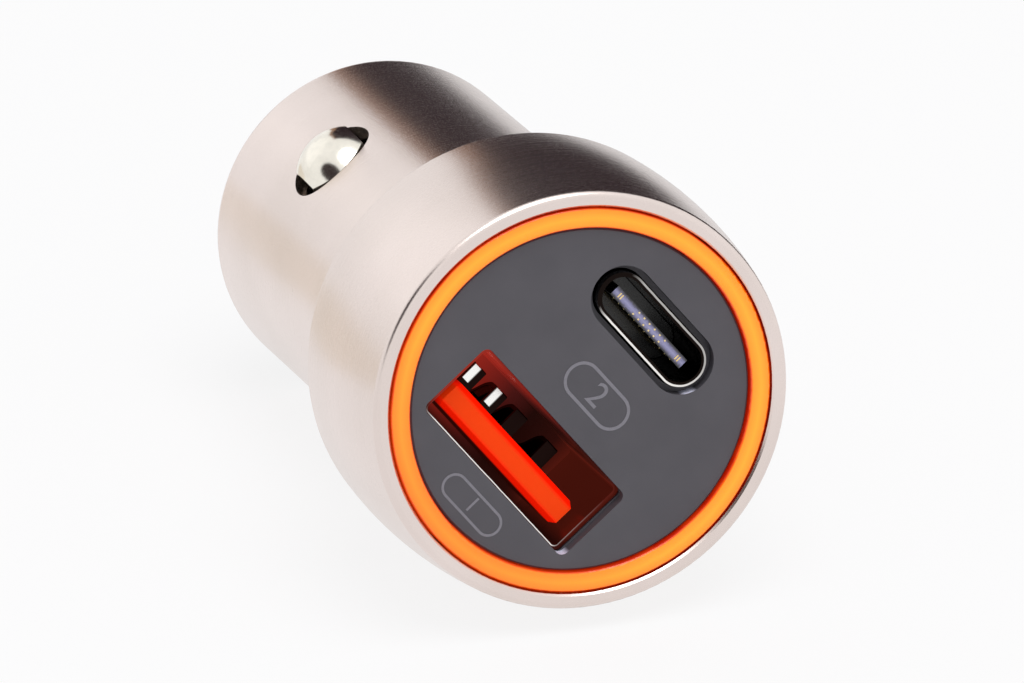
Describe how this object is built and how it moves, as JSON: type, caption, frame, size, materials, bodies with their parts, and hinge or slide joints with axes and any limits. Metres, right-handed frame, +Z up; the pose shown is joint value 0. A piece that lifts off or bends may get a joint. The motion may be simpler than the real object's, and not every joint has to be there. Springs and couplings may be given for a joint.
{
  "type": "car usb charger plug",
  "caption": "Short metal car socket plug with a drum-shaped head, an orange ring round a dark face with a wide and a small USB port, sprung side contacts and a sprung centre tip.",
  "frame": {"origin": "on the plug's axis, at the shoulder where the head meets the barrel and stops against the socket", "axes": "+Z up as the plug lies on its side; the face looks towards -Y and leans up with the axis, the tail points towards +Y; +X to the right of the face"},
  "size_m": [0.0272, 0.0523, 0.0276],
  "materials": {
    "body_metal": "satin, champagne nickel",
    "panel_grey": "fine matt",
    "ring_orange": "translucent, polished",
    "port_steel": "bright stamped sheet",
    "tongue_red": "moulded, semi-gloss",
    "port_black": "moulded, semi-gloss",
    "contact_nickel": "bright plated strip",
    "contact_gold": "gold plated",
    "dome_nickel": "polished nickel plate",
    "spring_steel": "drawn wire",
    "pin_brass": "satin",
    "board_green": "solder mask",
    "chip_black": "moulded epoxy",
    "ferrite": "pressed powder",
    "can_silver": "drawn can",
    "moulding_black": "fine matt",
    "moulding_white": "moulded",
    "lamp_yellow": "clear over phosphor"
  },
  "bodies": {
    "housing": {"shell": "body_metal", "front_panel": "panel_grey", "light_ring": "ring_orange", "port_carrier": "moulding_black", "led_board": "board_green", "leds": "lamp_yellow", "led_leads": "pin_brass", "usb_a_shell": "port_steel", "usb_a_tongue": "tongue_red", "usb_a_contacts": "contact_nickel", "usb_c_shell": "port_steel", "usb_c_tongue": "port_black", "usb_c_contacts": "contact_gold", "usb_c_board": "board_green", "link_pins": "pin_brass", "main_board": "board_green", "power_inductor": "ferrite", "filter_inductor": "ferrite", "input_capacitor": "can_silver", "output_capacitors": "can_silver", "converter_chip": "chip_black", "port_chip": "chip_black", "switch_transistors": "chip_black", "fuse": "moulding_white", "resistors": "chip_black", "contact_holder": "moulding_white", "side_spring_right": "spring_steel", "side_spring_left": "spring_steel", "positive_plate": "pin_brass", "centre_spring": "spring_steel", "tail_cap": "moulding_black"},
    "right_contact": {"side_contact_right": "dome_nickel"},
    "left_contact": {"side_contact_left": "dome_nickel"},
    "tip": {"centre_pin": "dome_nickel"}
  },
  "joints": [
    {"name": "side_contact_right_press", "type": "slide", "parent": "housing", "child": "right_contact", "axis": [-0.6252, 0.0794, 0.7764], "range_m": [0, 0.0015], "stiffness_N_per_m": 400, "springref_m": -0.001, "deforming": ["side_spring_right"]},
    {"name": "side_contact_left_press", "type": "slide", "parent": "housing", "child": "left_contact", "axis": [0.6252, -0.0794, -0.7764], "range_m": [0, 0.0015], "stiffness_N_per_m": 400, "springref_m": -0.001, "deforming": ["side_spring_left"]},
    {"name": "tip_press", "type": "slide", "parent": "housing", "child": "tip", "axis": [0, -0.9948, 0.1018], "range_m": [0, 0.0025], "stiffness_N_per_m": 800, "springref_m": -0.0015, "deforming": ["centre_spring"]}
  ]
}
